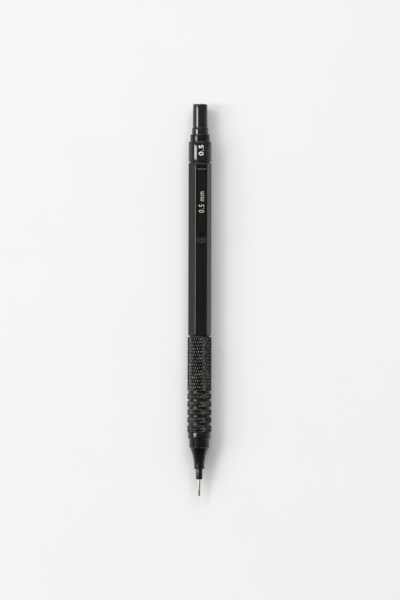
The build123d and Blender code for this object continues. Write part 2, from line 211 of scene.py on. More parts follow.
def finish_named(name, **shader):
    """A new material and its shader, with the values that are the same all over set on the shader itself."""
    material = bpy.data.materials.new(name)
    material.use_nodes = True
    tree = material.node_tree
    tree.nodes.clear()
    surface = tree.nodes.new("ShaderNodeBsdfPrincipled")
    for socket, value in shader.items():
        surface.inputs[socket.replace("_", " ")].default_value = value
    output = tree.nodes.new("ShaderNodeOutputMaterial")
    tree.links.new(surface.outputs["BSDF"], output.inputs["Surface"])
    place = add(tree, "ShaderNodeTexCoord")
    return material, tree, surface, place.outputs["Object"]


def ramp(tree, source, *stops):
    """A colour ramp with (position, colour) stops. Greys are given as one number."""
    node = add(tree, "ShaderNodeValToRGB", [("Fac", source)])
    while len(node.color_ramp.elements) < len(stops):
        node.color_ramp.elements.new(0.5)
    for element, (position, value) in zip(node.color_ramp.elements, stops):
        element.position = position
        element.color = (value, value, value, 1) if isinstance(value, float) else value
    return node.outputs["Color"]


# %% [markdown]
# ### Dressing a shader
# The finishes of the pencil all end the same way: a colour, a roughness, and a height that dents the
# surface, so one function links the three.

# %% Dressing a shader
def dress(tree, surface, tint, rough, height, depth_mm):
    """Link a colour, a roughness and a height, as deep as `depth_mm`, to the shader."""
    bump = add(tree, "ShaderNodeBump", [("Height", height)], Distance=depth_mm * MM, Strength=1.0)
    for socket, source in (("Base Color", tint), ("Roughness", rough), ("Normal", bump.outputs["Normal"])):
        tree.links.new(source, surface.inputs[socket])


# %% [markdown]
# ### Black lacquer
# Sprayed and baked lacquer levels to a gloss with a faint orange peel, about a third of a millimetre
# from crest to crest, and handling hazes it in soft patches. The gloss parts at the button end are
# polished, the barrel and clip are a little duller, and the nose keeps fine turning marks under the
# lacquer: lines round the axis, 0.24 mm apart, drawn as a wave along the pencil. `shine` is the
# shader's specular level: 0.5 gives the full 4%, and less of it suits a duller lacquer.

# %% Lacquers
PATCH_MM, SPECK_MM = 6, 0.5


def lacquer(name, base, worn, gloss, haze, peel_mm, peel_depth_mm, turning_mm=0.0, shine=0.5):
    """Black lacquer: base and worn colours, roughness from gloss to haze, orange peel, turning marks."""
    material, tree, surface, place = finish_named(name, IOR=1.5, Specular_IOR_Level=shine)
    on_place = [("Vector", place)]
    patches = add(tree, "ShaderNodeTexNoise", on_place, Scale=1 / (PATCH_MM * MM), Detail=3.0, Roughness=0.6)
    specks = add(tree, "ShaderNodeTexNoise", on_place, Scale=1 / (SPECK_MM * MM), Detail=2.0)
    both = [(0, patches.outputs["Fac"]), (1, specks.outputs["Fac"])]
    worn_share = add(tree, "ShaderNodeMath", both, operation="MULTIPLY")
    tint = ramp(tree, patches.outputs["Fac"], (0.35, colour(base)), (0.75, colour(worn)))
    rough = ramp(tree, worn_share.outputs[0], (0.12, float(gloss)), (0.42, float(haze)))
    peel = add(tree, "ShaderNodeTexNoise", on_place, Scale=1 / (peel_mm * MM), Detail=1.0)
    height = peel.outputs["Fac"]
    if turning_mm:
        # A wave texture repeats every pi / (10 * scale).
        lines = dict(bands_direction="Y", Scale=math.pi / (10 * turning_mm * MM), Distortion=0.6, Detail=1.0)
        marks = add(tree, "ShaderNodeTexWave", on_place, **lines)
        heights = [(0, height), (1, marks.outputs["Fac"])]
        height = add(tree, "ShaderNodeMath", heights, operation="ADD").outputs[0]
    dress(tree, surface, tint, rough, height, peel_depth_mm)
    return material


gloss_black = lacquer("gloss_black_lacquer", "#171716", "#1B1B1A", 0.05, 0.08, 0.35, 0.0001)
satin_black = lacquer("satin_black_lacquer", "#100F0E", "#131311", 0.12, 0.20, 0.30, 0.0004, shine=0.33)
turned_black = lacquer("turned_black_lacquer", "#060606", "#0A0A09", 0.17, 0.24, 0.30, 0.0003,
                       turning_mm=0.24)
print("lacquers:", gloss_black.name, satin_black.name, turned_black.name)

# %% [markdown]
# ### Lacquered knurling
# Knurling is cut through a bar that is then lacquered. The hand polishes the tips of the diamonds and never
# reaches the grooves, so the tips are smoother and the grooves stay hazy. The colour runs from near black in
# the grooves to grey on the tips. This is partly wear, and partly painted shade in the grooves and a painted
# highlight on the tips. The mesh stores how high each point stands, and the finish follows that number.

# %% Knurled finish
def knurled_finish():
    """Lacquer whose colour and roughness follow the mesh's own `tip` value, 0 in a groove to 1 on a tip."""
    material, tree, surface, place = finish_named("knurled_black_lacquer", IOR=1.5, Specular_IOR_Level=0.4)
    tip = add(tree, "ShaderNodeAttribute", attribute_name="tip", attribute_type="GEOMETRY").outputs["Fac"]
    grain = dict(Scale=1 / (1.6 * MM), Detail=4.0, Roughness=0.65)
    dust = add(tree, "ShaderNodeTexNoise", [("Vector", place)], **grain).outputs["Fac"]
    # Wear and painted light together: near black in the grooves is painted shade, and grey on the tips is
    # wear and a painted highlight.
    worn = add(tree, "ShaderNodeMath", [(0, dust), (1, tip)], operation="MULTIPLY").outputs[0]
    tint = ramp(tree, worn, (0.0, colour("#010101")), (0.36, colour("#080807")), (0.52, colour("#6A6963")))
    rough = ramp(tree, tip, (0.0, 0.30), (0.6, 0.15), (1.0, 0.12))
    dress(tree, surface, tint, rough, dust, 0.002)
    return material


knurled_black = knurled_finish()

# %% [markdown]
# ### Bare metals, rubber and graphite
# The sleeve is drawn stainless tube with lengthwise die lines. Chuck, housing and tube are turned
# brass, which tarnishes in patches. The eraser is soft vinyl with a chalky skin, and the lead is
# graphite in a polymer, dark grey with a dull shine.

# %% Metals, rubber and graphite
def plain_metal(name, bright, dull, rough_low, rough_high, line_mm, along):
    """Bare metal with fine lines: along the pencil for drawn tube, round it for turned work."""
    material, tree, surface, place = finish_named(name, Metallic=1.0)
    squeeze = (1.0, 0.03, 1.0) if along else (0.03, 1.0, 0.03)
    stretched = add(tree, "ShaderNodeMapping", [("Vector", place)], Scale=squeeze).outputs["Vector"]
    lines = add(tree, "ShaderNodeTexNoise", [("Vector", stretched)], Scale=1 / (line_mm * MM), Detail=3.0)
    patches = add(tree, "ShaderNodeTexNoise", [("Vector", place)], Scale=1 / (2.5 * MM), Detail=4.0)
    tint = ramp(tree, patches.outputs["Fac"], (0.35, colour(bright)), (0.7, colour(dull)))
    rough = ramp(tree, lines.outputs["Fac"], (0.3, rough_low), (0.7, rough_high))
    dress(tree, surface, tint, rough, lines.outputs["Fac"], 0.0015)
    return material


def soft_solid(name, light, dark, rough_low, rough_high, grain_mm, grain_depth_mm, metallic=0.0):
    """Rubber, vinyl, ink or graphite: a grain that tints, roughens and dents the surface together."""
    material, tree, surface, place = finish_named(name, IOR=1.5, Metallic=metallic)
    size = dict(Scale=1 / (grain_mm * MM), Detail=5.0, Roughness=0.6)
    grain = add(tree, "ShaderNodeTexNoise", [("Vector", place)], **size).outputs["Fac"]
    tint = ramp(tree, grain, (0.3, colour(dark)), (0.7, colour(light)))
    rough = ramp(tree, grain, (0.3, rough_high), (0.7, rough_low))
    dress(tree, surface, tint, rough, grain, grain_depth_mm)
    return material


drawn_steel = plain_metal("drawn_stainless_steel", "#D6D5D0", "#B9B8B3", 0.22, 0.38, 0.08, True)
spring_wire = plain_metal("drawn_spring_wire", "#B4B3B0", "#8E8D8A", 0.25, 0.40, 0.10, False)
turned_brass = plain_metal("turned_brass", "#D9B764", "#B08C45", 0.20, 0.36, 0.10, False)
drawn_aluminium = plain_metal("drawn_aluminium", "#D9DADB", "#BFC0C1", 0.24, 0.40, 0.10, False)
eraser_vinyl = soft_solid("white_vinyl_eraser", "#EDEBE4", "#DDDAD1", 0.75, 0.9, 0.5, 0.01)
moulded_rubber = soft_solid("black_moulded_rubber", "#171716", "#0E0E0E", 0.55, 0.75, 0.4, 0.008)
graphite = soft_solid("polymer_graphite_lead", "#4C4C4E", "#343436", 0.38, 0.55, 0.2, 0.004, metallic=0.35)
white_ink = soft_solid("white_printing_ink", "#F4F4F2", "#E6E6E3", 0.45, 0.6, 0.15, 0.001)
grey_ink = soft_solid("warm_grey_printing_ink", "#D0CFC4", "#B9B8AD", 0.5, 0.65, 0.15, 0.001)
matte_black = soft_solid("matte_black_thread", "#0D0D0C", "#080807", 0.5, 0.65, 0.3, 0.003)
print("finishes:", len(bpy.data.materials))

# %% [markdown]
# ## The lead and its sleeve
# The lead is a plain rod whose end is worn to a short, blunt taper. The sleeve is a thin steel tube
# with a rounded lip, so that it slides along a ruler. Both are turned outlines.

# %% Lead
LEAD_START, LEAD_END, LEAD_R = span("lead")
lead = turned("lead", [
    (LEAD_START, 0),
    (LEAD_START, LEAD_R * 0.62, 0.06),
    (LEAD_START + 0.22, LEAD_R, 0.08),
    (LEAD_END, LEAD_R, 0.03),
    (LEAD_END, 0),
], angles=TURN[::4])
fit_on(lead, "lead", "lead_in_use", graphite)

# %% [markdown]
# ### Sleeve and holder
# The sleeve is pressed into a small black holder, where it is thicker, and the holder is pressed into
# the nose. Each outline is closed, so the bore is part of it.

# %% Sleeve and its holder
SLEEVE_START, SLEEVE_END, SLEEVE_ROOT_R = span("lead_sleeve")
HOLDER_START, HOLDER_END, HOLDER_R = span("sleeve_holder")
SLEEVE_R, SLEEVE_BORE_R = 0.45, LEAD_R + 0.03
sleeve = turned("lead_sleeve", [
    (SLEEVE_START, SLEEVE_BORE_R, 0.03),
    (SLEEVE_START, SLEEVE_R, 0.09),
    (HOLDER_START, SLEEVE_R),
    (HOLDER_START, SLEEVE_ROOT_R),
    (SLEEVE_END, SLEEVE_ROOT_R),
    (SLEEVE_END, SLEEVE_BORE_R),
], angles=TURN[::2])
fit_on(sleeve, "lead_sleeve", "nose", drawn_steel)

CONE_START, CONE_BACK, STEP_2_R = span("nose_cone")
HOLDER_SPIGOT_R = 0.95
holder = turned("sleeve_holder", [
    (HOLDER_START, SLEEVE_ROOT_R),
    (HOLDER_START, HOLDER_R, 0.16),
    (CONE_START, HOLDER_R, 0.02),
    (CONE_START, HOLDER_SPIGOT_R),
    (HOLDER_END, HOLDER_SPIGOT_R),
    (HOLDER_END, SLEEVE_BORE_R),
    (SLEEVE_END, SLEEVE_BORE_R),
    (SLEEVE_END, SLEEVE_ROOT_R),
], angles=TURN[::2])
fit_on(holder, "sleeve_holder", "nose", turned_black)

# %% [markdown]
# ## The nose
# The nose is turned in one piece: two steps that echo the rings of the grip, then a cone whose sides
# draw in as a hollow curve. The curve is an arc of 14.8 mm radius that leaves the narrow end parallel
# to the axis and meets the straight cone without a kink. Inside are the pocket for the rubber
# retainer and the room where the jaws open. Most parts that slide or screw together have 0.05 mm of
# play all round.

# %% Nose cone
SWEEP_START, SWEEP_R, SWEEP_ANGLE = 10.8, 14.8, math.radians(19.9)
CONE_FRONT_R, CONE_END, CONE_END_R = 1.82, 17.2, 3.2
STEP_1_R, STEP_1_END, STEP_2_END = 3.58, 20.4, 22.76
NOSE_THREAD_R, RETAINER_END, RETAINER_R = 2.9, 14.4, 1.3
RING_START, RING_END, RING_R = span("clutch_ring")
HOUSING_START, HOUSING_END, HOUSING_R = span("clutch_housing")
JAW_ROOM_START, JAW_ROOM_R, RING_ROOM_LENGTH, RING_ROOM_R = 15.6, 1.8, 1.3, 2.15
RING_STOP = RING_START - RING_ROOM_LENGTH
PLAY = 0.05

sweep = np.linspace(0, SWEEP_ANGLE, 20)
hollow_curve = np.stack([
    SWEEP_START + SWEEP_R * np.sin(sweep), CONE_FRONT_R + SWEEP_R * (1 - np.cos(sweep))
], axis=-1)
nose = turned("nose_cone", [
    (CONE_START, HOLDER_SPIGOT_R),
    (CONE_START, CONE_FRONT_R, 0.28),
    *[tuple(p) for p in hollow_curve],
    (CONE_END, CONE_END_R, 0.1),
    (CONE_END + 0.28, STEP_1_R, 0.16),
    (STEP_1_END, STEP_1_R, 0.05),
    (STEP_1_END, STEP_2_R - 0.28, 0.05),
    (STEP_1_END + 0.28, STEP_2_R, 0.2),
    (STEP_2_END, STEP_2_R, 0.2),
    (STEP_2_END, NOSE_THREAD_R),
    (CONE_BACK, NOSE_THREAD_R, 0.2),
    (CONE_BACK, HOUSING_R + PLAY),
    (RING_END, HOUSING_R + PLAY),
    (RING_END, RING_ROOM_R),
    (RING_STOP, RING_ROOM_R),
    (RING_STOP, JAW_ROOM_R),
    (JAW_ROOM_START, JAW_ROOM_R),
    (RETAINER_END, RETAINER_R),
    (HOLDER_END, RETAINER_R),
    (HOLDER_END, HOLDER_SPIGOT_R),
])
fit_on(nose, "nose_cone", "nose", turned_black)

# %% [markdown]
# ## The knurled grip
# A knurling tool presses or cuts two sets of helical grooves, one right-handed and one left-handed,
# and the diamonds are what they leave between them. The two sets are two phases, `a` and `b`, that
# grow along each helix, and the distance to the nearest whole number says how far a point is from a
# groove. A diamond rises from both grooves as a round pillow, steep at the groove and level at its top,
# because the lacquer and the tool's worn teeth leave no flat facet.
# The grid has eight steps to a tooth each way, so every groove runs exactly along diagonals of the
# grid, and each cell is split along the diagonal that the groove follows.

# %% Knurl
TEETH = 32
DIAMOND_LENGTH = 2.287
KNURL_DEPTH = 0.22
STEPS_PER_TOOTH = 8
GRIP_START, GRIP_END, GRIP_R = span("grip")
GROOVE_FIRST, GROOVE_PITCH, GROOVE_COUNT = 25.73, 2.855, 5
GROOVE_FLOOR, GROOVE_R, GROOVE_EDGE, GRIP_EDGE, EDGE_ROUND = 0.7, 3.9, 0.25, 0.3, 0.35
JOINT_START, JOINT_END, NECK_R = span("joint_bush")
JOINT_R = 3.3
KNURL_SHARP = math.radians(38)


def knurl(angle, station):
    """Height of the diamonds, 0 to 1: 1 - (1 - d)^2.

    d is the distance from the nearer of the two grooves, 0 on it and 1 half way to the next one."""
    turn, rise = TEETH * angle / (2 * math.pi), station / DIAMOND_LENGTH
    from_groove = [2 * np.abs(phase - np.round(phase)) for phase in (turn + rise, turn - rise)]
    return 1 - (1 - np.minimum(*from_groove)) ** 2


def grip_rows():
    """Stations and radii of the grip's outline without its knurl."""
    step = DIAMOND_LENGTH / STEPS_PER_TOOTH
    edges = [GRIP_START]
    for groove in range(GROOVE_COUNT):
        middle = GROOVE_FIRST + groove * GROOVE_PITCH
        edges += [middle - GROOVE_FLOOR / 2, middle + GROOVE_FLOOR / 2]
    edges.append(GRIP_END)
    rows = []
    for start, end in zip(edges[::2], edges[1::2]):
        edge_front = GRIP_EDGE if start == GRIP_START else GROOVE_EDGE
        edge_rear = GRIP_EDGE if end == GRIP_END else GROOVE_EDGE
        first_step = math.ceil((start + edge_front) / step + 0.2)
        inside = np.arange(first_step, (end - edge_rear) / step - 0.2) * step
        rows += [(start, GROOVE_R), (start, GRIP_R - edge_front)]
        rows += [(start + edge_front / 2, GRIP_R - edge_front * EDGE_ROUND), (start + edge_front, GRIP_R)]
        rows += [(s, GRIP_R) for s in inside]
        rows += [(end - edge_rear, GRIP_R), (end - edge_rear / 2, GRIP_R - edge_rear * EDGE_ROUND)]
        rows += [(end, GRIP_R - edge_rear), (end, GROOVE_R)]
    return np.array(rows)


def knurled_sleeve():
    """The grip: outline rows cut down to the knurl outside, a stepped bore inside, closed both ways."""
    columns = TEETH * STEPS_PER_TOOTH
    angle = np.linspace(0, 2 * math.pi, columns, endpoint=False)[None, :]
    outer = grip_rows()
    station, envelope = outer[:, :1], outer[:, 1:]
    tip = knurl(angle, station)
    radius = np.minimum(envelope, GRIP_R - KNURL_DEPTH * (1 - tip))
    bore = np.array([
        (GRIP_END, JOINT_R), (JOINT_START, JOINT_R), (JOINT_START, HOUSING_R), (CONE_BACK + 0.1, HOUSING_R),
        (CONE_BACK + 0.1, NOSE_THREAD_R + PLAY), (GRIP_START, NOSE_THREAD_R + PLAY),
    ])
    x = np.concatenate([radius * np.sin(angle), bore[:, 1:] * np.sin(angle)])
    z = np.concatenate([radius * np.cos(angle), bore[:, 1:] * np.cos(angle)]) + AXIS_Z
    y = np.broadcast_to(POINT_Y + np.concatenate([station, bore[:, :1]]), x.shape)
    quads = grid_faces(*x.shape, True, True)
    # Split each cell along the diagonal whose ends agree best with the height at the cell's middle.
    outside = (quads < station.size * columns).all(axis=1)
    height = np.where(radius < envelope + 1e-9, tip, 0).ravel()
    row, column = quads[outside, 0] // columns, quads[outside, 0] % columns
    middle = knurl(angle[0, column] + math.pi / columns, (station[row, 0] + station[row + 1, 0]) / 2)
    corner = height[quads[outside]]
    off_02 = np.abs((corner[:, 0] + corner[:, 2]) / 2 - middle)
    off_13 = np.abs((corner[:, 1] + corner[:, 3]) / 2 - middle)
    first = off_02 <= off_13
    order = np.where(first[:, None], [[0, 1, 2, 0, 2, 3]], [[1, 2, 3, 1, 3, 0]])
    triangles = np.take_along_axis(quads[outside], order, axis=1).reshape(-1, 3)
    faces = [*triangles.tolist(), *quads[~outside].tolist()]
    return np.stack([x, y, z], axis=-1), faces


grip = piece_from("grip", *knurled_sleeve(), sharp=KNURL_SHARP)


def mark_tips(piece):
    """Store each point's knurl height on the mesh as `tip`, worked out again from where the point is."""
    place = np.empty(len(piece.data.vertices) * 3)
    piece.data.vertices.foreach_get("co", place)
    x, y, z = place.reshape(-1, 3).T / MM
    radius = np.hypot(x, z - AXIS_Z)
    tip = np.clip((radius - (GRIP_R - KNURL_DEPTH)) / KNURL_DEPTH, 0, 1)
    piece.data.attributes.new("tip", "FLOAT", "POINT").data.foreach_set("value", tip.astype(np.float32))


mark_tips(grip)
fit_on(grip, "grip", "housing", knurled_black)

# %% [markdown]
# ### The joint bush
# A matte black threaded bush joins the grip to the barrel, and its collar shows as the dark neck
# between them. The threads are left out, because they are never seen.

# %% Joint bush
BARREL_START, BARREL_END, _ = span("barrel")
BUSH_SEAT_R, JOINT_BORE_R = 3.2, 2.4
joint_bush = turned("joint_bush", [
    (JOINT_START, JOINT_BORE_R),
    (JOINT_START, JOINT_R),
    (GRIP_END, JOINT_R),
    (GRIP_END, NECK_R),
    (BARREL_START, NECK_R),
    (BARREL_START, BUSH_SEAT_R),
    (JOINT_END, BUSH_SEAT_R),
    (JOINT_END, JOINT_BORE_R),
])
fit_on(joint_bush, "joint_bush", "housing", matte_black)

# %% [markdown]
# ## The hexagonal barrel
# The barrel is drawn hexagonal tube, sawn to length, with its ends faced and broken. A row of the
# grid is a hexagon with rounded corners: six arcs of 0.6 mm radius joined by flats. The bore is a
# circle with the same columns, so one grid covers the outside, both ends and the bore.

# %% Barrel
HEX_FILLET, LEAST_FILLET = 0.6, 0.15
ARC_STEPS, POINTS_ON_FLAT = 8, (0.04, 0.96)
barrel_low, barrel_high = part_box("barrel")
HEX_FLAT = (barrel_high.z - barrel_low.z) / 2 / MM
BARREL_BORE_R, SEAT_START = 2.75, 110.0


def hexagon(inset):
    """Rounded hexagon, `inset` in from the barrel's flats, as (x, z) points.

    Corner k stands at 30 + 60 k degrees from a flat. Its arc is centred on that line, at the flat's
    distance less the fillet over cos 30, and turns 60 degrees. Points just inside each flat keep it flat."""
    flat, fillet = HEX_FLAT - inset, max(HEX_FILLET - inset, LEAST_FILLET)
    corner = math.radians(60) * np.arange(6) + math.radians(30)
    sweep = np.linspace(-math.radians(30), math.radians(30), ARC_STEPS + 1)
    reach = (flat - fillet) / math.cos(math.radians(30))
    normal = corner[:, None] + sweep[None, :]
    x = reach * np.sin(corner)[:, None] + fillet * np.sin(normal)
    z = reach * np.cos(corner)[:, None] + fillet * np.cos(normal)
    arcs = np.stack([x, z], axis=-1)
    after = np.roll(arcs[:, 0], -1, axis=0)
    on_flat = [arcs[:, -1] + (after - arcs[:, -1]) * share for share in POINTS_ON_FLAT]
    return np.concatenate([arcs, *[p[:, None] for p in on_flat]], axis=1).reshape(-1, 2)


def round_bore(radius):
    """Circle with a column for each column of the hexagon, at the same angle."""
    loop = hexagon(0.0)
    return loop * (radius / np.linalg.norm(loop, axis=1))[:, None]


# The broken edge at each end: how far in from the end, and how far in from the flats.
BROKEN_END = [(0.0, 0.30), (0.07, 0.13), (0.16, 0.04), (0.32, 0.0), (0.6, 0.0)]
BORE = [
    (BARREL_END, BUSH_SEAT_R), (SEAT_START, BUSH_SEAT_R), (SEAT_START, BARREL_BORE_R),
    (JOINT_END, BARREL_BORE_R), (JOINT_END, BUSH_SEAT_R), (BARREL_START, BUSH_SEAT_R),
]
barrel_rows = [(BARREL_START + step, hexagon(inset)) for step, inset in BROKEN_END]
barrel_rows += [(BARREL_END - step, hexagon(inset)) for step, inset in reversed(BROKEN_END)]
barrel_rows += [(station, round_bore(radius)) for station, radius in BORE]
barrel_points = np.stack([
    np.column_stack([loop[:, 0], np.full(len(loop), POINT_Y + station), AXIS_Z + loop[:, 1]])
    for station, loop in barrel_rows
])
barrel = piece_from("barrel", barrel_points, grid_faces(*barrel_points.shape[:2], True, True))

# %% [markdown]
# ### The slot for the clip
# The clip goes down through a slot with round corners, milled through the top facet. The cutter is a
# standing block of that shape, and it is taken out of the barrel's mesh once the barrel is whole.

# %% Slot for the clip
SLOT_START, SLOT_END, SLOT_WIDTH, SLOT_ROUND = 115.5, 117.55, 3.5, 0.5
# The cutter's ends stand at these shares of the facet's height over the axis.
CUTTER_LOW, CUTTER_HIGH = 0.7, 1.3
# The points start off the quarter turns, where the side they belong to would be open.
CUTTER_TURN = math.radians(5.6)


def slot_cutter():
    """A standing block with rounded corners: a rounded rectangle repeated at two heights, closed by caps."""
    half_x, half_y = SLOT_WIDTH / 2 - SLOT_ROUND, (SLOT_END - SLOT_START) / 2 - SLOT_ROUND
    turn = np.linspace(0, 2 * math.pi, 33)[:-1] + CUTTER_TURN
    x = np.sign(np.cos(turn)) * half_x + SLOT_ROUND * np.cos(turn)
    y = np.sign(np.sin(turn)) * half_y + SLOT_ROUND * np.sin(turn) + POINT_Y + (SLOT_START + SLOT_END) / 2
    heights = AXIS_Z + np.array([CUTTER_LOW, CUTTER_HIGH]) * HEX_FLAT
    rings = [np.column_stack([x * scale, (y - y.mean()) * scale + y.mean(), np.full(len(x), z)])
             for z, scale in zip(heights[[0, 0, 1, 1]], (0, 1, 1, 0))]
    return np.stack(rings)


def cut_from(piece, cutter_points):
    """Take a cutter out of a piece with an exact Boolean, and keep only the result."""
    cutter = piece_from("cutter", cutter_points, grid_faces(*cutter_points.shape[:2], False, True))
    cut = piece.modifiers.new("slot", "BOOLEAN")
    cut.operation, cut.solver, cut.object = "DIFFERENCE", "EXACT", cutter
    bpy.context.view_layer.update()
    result = bpy.data.meshes.new_from_object(piece.evaluated_get(bpy.context.evaluated_depsgraph_get()))
    piece.modifiers.clear()
    piece.data = result
    result.set_sharp_from_angle(angle=BEVEL_SHARP)
    bpy.data.objects.remove(cutter)


cut_from(barrel, slot_cutter())
fit_on(barrel, "barrel", "housing", satin_black)

# %% [markdown]
# ## The button end
# Behind the barrel a threaded bush carries the size band and the end ring, which guides the collar
# under the push button. They are turned, and lacquered: the band to a full gloss, the ring to satin,
# the bush left matte. The edges that show are broken by about a quarter of a millimetre, but the
# ring's front edge, which sits against the band, is left nearly sharp.

# %% Rear bush, size band and end ring
BUSH_START, BUSH_END, BUSH_NECK_R = span("rear_bush")
BAND_START, BAND_END, BAND_R = span("size_band")
END_RING_SEAT, END_RING_END, END_RING_R = span("end_ring")
COLLAR_START, COLLAR_LIP_END, COLLAR_R = span("button_collar")
COLLAR_LIP, COLLAR_LIP_R = 0.1, 2.35
COLLAR_END = COLLAR_LIP_END - COLLAR_LIP
BUTTON_START, BUTTON_END, BUTTON_R = span("push_button")
TUBE_START, TUBE_END, TUBE_R = span("lead_tube")
BUSH_BAND_R, BUSH_BORE_R, BUSH_THREAD_END, BUSH_R = 2.75, TUBE_R + PLAY, 113.5, 2.5
END_RING_SEAT_R, COLLAR_BORE_R = 3.3, COLLAR_R + PLAY

rear_bush = turned("rear_bush", [
    (BUSH_START, BUSH_BORE_R),
    (BUSH_START, BARREL_BORE_R),
    (SEAT_START, BARREL_BORE_R),
    (SEAT_START, BUSH_SEAT_R),
    (BUSH_THREAD_END, BUSH_SEAT_R),
    (BUSH_THREAD_END, BUSH_R),
    (BARREL_END, BUSH_R),
    (BARREL_END, BUSH_NECK_R),
    (BAND_START, BUSH_NECK_R),
    (BAND_START, BUSH_BAND_R),
    (BUSH_END, BUSH_BAND_R),
    (BUSH_END, BUSH_BORE_R),
])
fit_on(rear_bush, "rear_bush", "housing", matte_black)

size_band = turned("size_band", [
    (BAND_START, BUSH_BAND_R),
    (BAND_START, BAND_R, 0.24),
    (BAND_END, BAND_R, 0.26),
    (BAND_END, END_RING_SEAT_R),
    (END_RING_SEAT, END_RING_SEAT_R),
    (END_RING_SEAT, BUSH_BAND_R),
])
fit_on(size_band, "size_band", "housing", gloss_black)

end_ring = turned("end_ring", [
    (END_RING_SEAT, COLLAR_BORE_R),
    (END_RING_SEAT, END_RING_SEAT_R),
    (BAND_END, END_RING_SEAT_R),
    (BAND_END, END_RING_R, 0.04),
    (END_RING_END, END_RING_R, 0.28),
    (END_RING_END, COLLAR_BORE_R, 0.08),
])
fit_on(end_ring, "end_ring", "housing", satin_black)

# %% [markdown]
# ### Collar and push button
# The collar sits under the button, and a low black lip on it closes the gap between the two. The
# button is a turned cap that narrows a little to the back and ends in a slight dome, with a bore that
# fits over the tube.

# %% Collar and push button
button_collar = turned("button_collar", [
    (COLLAR_START, TUBE_R),
    (COLLAR_START, COLLAR_R, 0.2),
    (COLLAR_END, COLLAR_R, 0.22),
    (COLLAR_END, COLLAR_LIP_R),
    (BUTTON_START, COLLAR_LIP_R),
    (BUTTON_START, TUBE_R),
])
fit_on(button_collar, "button_collar", "plunger", gloss_black)

BUTTON_TOP_R, BUTTON_BORE_R, BUTTON_BORE_END = 2.56, TUBE_R + PLAY, 139.0
CROWN = 0.12
push_button = turned("push_button", [
    (BUTTON_BORE_END, 0),
    (BUTTON_BORE_END, BUTTON_BORE_R, 0.1),
    (BUTTON_START, BUTTON_BORE_R, 0.05),
    (BUTTON_START, BUTTON_R, 0.14),
    (BUTTON_END - CROWN, BUTTON_TOP_R, 0.42),
    (BUTTON_END - CROWN * 0.25, BUTTON_TOP_R * 0.5, 0.6),
    (BUTTON_END, 0),
], steps=8)
fit_on(push_button, "push_button", "button", gloss_black)

# %% [markdown]
# ## The clip
# The clip is a strip of spring steel 0.4 mm thick. It comes up through the slot, turns along the
# barrel, dips until it all but touches the facet, and flares up at its end. Its line is straight runs
# with bends of a true radius, as a press brake would bend it.

# %% Bent line
CLIP_T, ARM_HEIGHT, FOOT_HEIGHT = 0.4, 0.75, -0.83
FOOT_END, BEND_AT, PADDLE_START, PADDLE_LOW = 118.4, 116.9, 94.6, 92.6
LIP_END, LIP_HEIGHT = 89.9, 0.78
BEND_RADII, LINE_STEP = [0.32, 0.45, 2.5, 1.6], 0.12


def bent(corners, radii, spacing):
    """Points along straight runs joined by arcs. An arc starts radius * tan(turn / 2) before its corner."""
    corners = np.array(corners, float)
    points = [corners[:1]]
    for before, here, after, radius in zip(corners, corners[1:], corners[2:], radii):
        way_in, way_out = (here - before), (after - here)
        way_in, way_out = way_in / np.linalg.norm(way_in), way_out / np.linalg.norm(way_out)
        turn = math.atan2(way_in[0] * way_out[1] - way_in[1] * way_out[0], way_in @ way_out)
        side = np.array([-way_in[1], way_in[0]]) * math.copysign(radius, turn)
        start = here - way_in * radius * math.tan(abs(turn) / 2)
        swing = np.linspace(0, abs(turn), max(3, int(abs(turn) * radius / spacing) + 2))[:, None]
        points.append(start + way_in * radius * np.sin(swing) + side * (1 - np.cos(swing)))
    points.append(corners[-1:])
    return np.concatenate(points)


clip_line = bent(
    [(FOOT_END, FOOT_HEIGHT), (BEND_AT, FOOT_HEIGHT), (BEND_AT, ARM_HEIGHT), (PADDLE_START, ARM_HEIGHT),
     (PADDLE_LOW, CLIP_T / 2 + 0.05), (LIP_END, LIP_HEIGHT)],
    BEND_RADII,
    LINE_STEP,
)
run = np.concatenate([[0], np.cumsum(np.linalg.norm(np.diff(clip_line, axis=0), axis=1))])
print("clip strip", round(run[-1], 2), "mm long")

# %% [markdown]
# ### The strip
# The strip is the bent line carried across its width, which changes along the line. The round end is
# made by stopping each strand a little short, the more so the nearer it is to the side. Solidify
# gives the thickness, and Bevel breaks the stamped edges.

# %% Clip strip
ARM_WIDTH, ROOT_WIDTH, FOOT_WIDTH, PADDLE_WIDTH = 2.5, 3.2, 1.8, 3.75
ROOT_START, ROOT_SHOULDER, PADDLE_SHOULDER = 116.3, 0.4, 0.6
SLOT_DEPTHS = (0.25, 0.55)
LIP_BULGE, LIP_ZONE, LIP_FULLNESS = 0.95, 3.0, 0.98
ROW_STEP, FINE_ZONE, SLOPE_STEP = 0.25, 4, 0.02


def ease(value, start, end):
    """0 before start, 1 after end, and 3t^2 - 2t^3 between."""
    t = np.clip((value - start) / (end - start), 0, 1)
    return t * t * (3 - 2 * t)


def strip_half_width(station, height):
    """Half the strip's width: foot, root, arm and paddle, with eased shoulders between."""
    on_root = ease(station, ROOT_START - ROOT_SHOULDER, ROOT_START)
    on_paddle = ease(-station, -PADDLE_START, -(PADDLE_START - PADDLE_SHOULDER))
    width = ARM_WIDTH + (ROOT_WIDTH - ARM_WIDTH) * on_root + (PADDLE_WIDTH - ARM_WIDTH) * on_paddle
    in_slot = ease(-height, *SLOT_DEPTHS)
    return (width * (1 - in_slot) + FOOT_WIDTH * in_slot) / 2


def line_at(distance):
    """Station and height of the bent line, at a distance along it."""
    return np.interp(distance, run, clip_line[:, 0]), np.interp(distance, run, clip_line[:, 1])


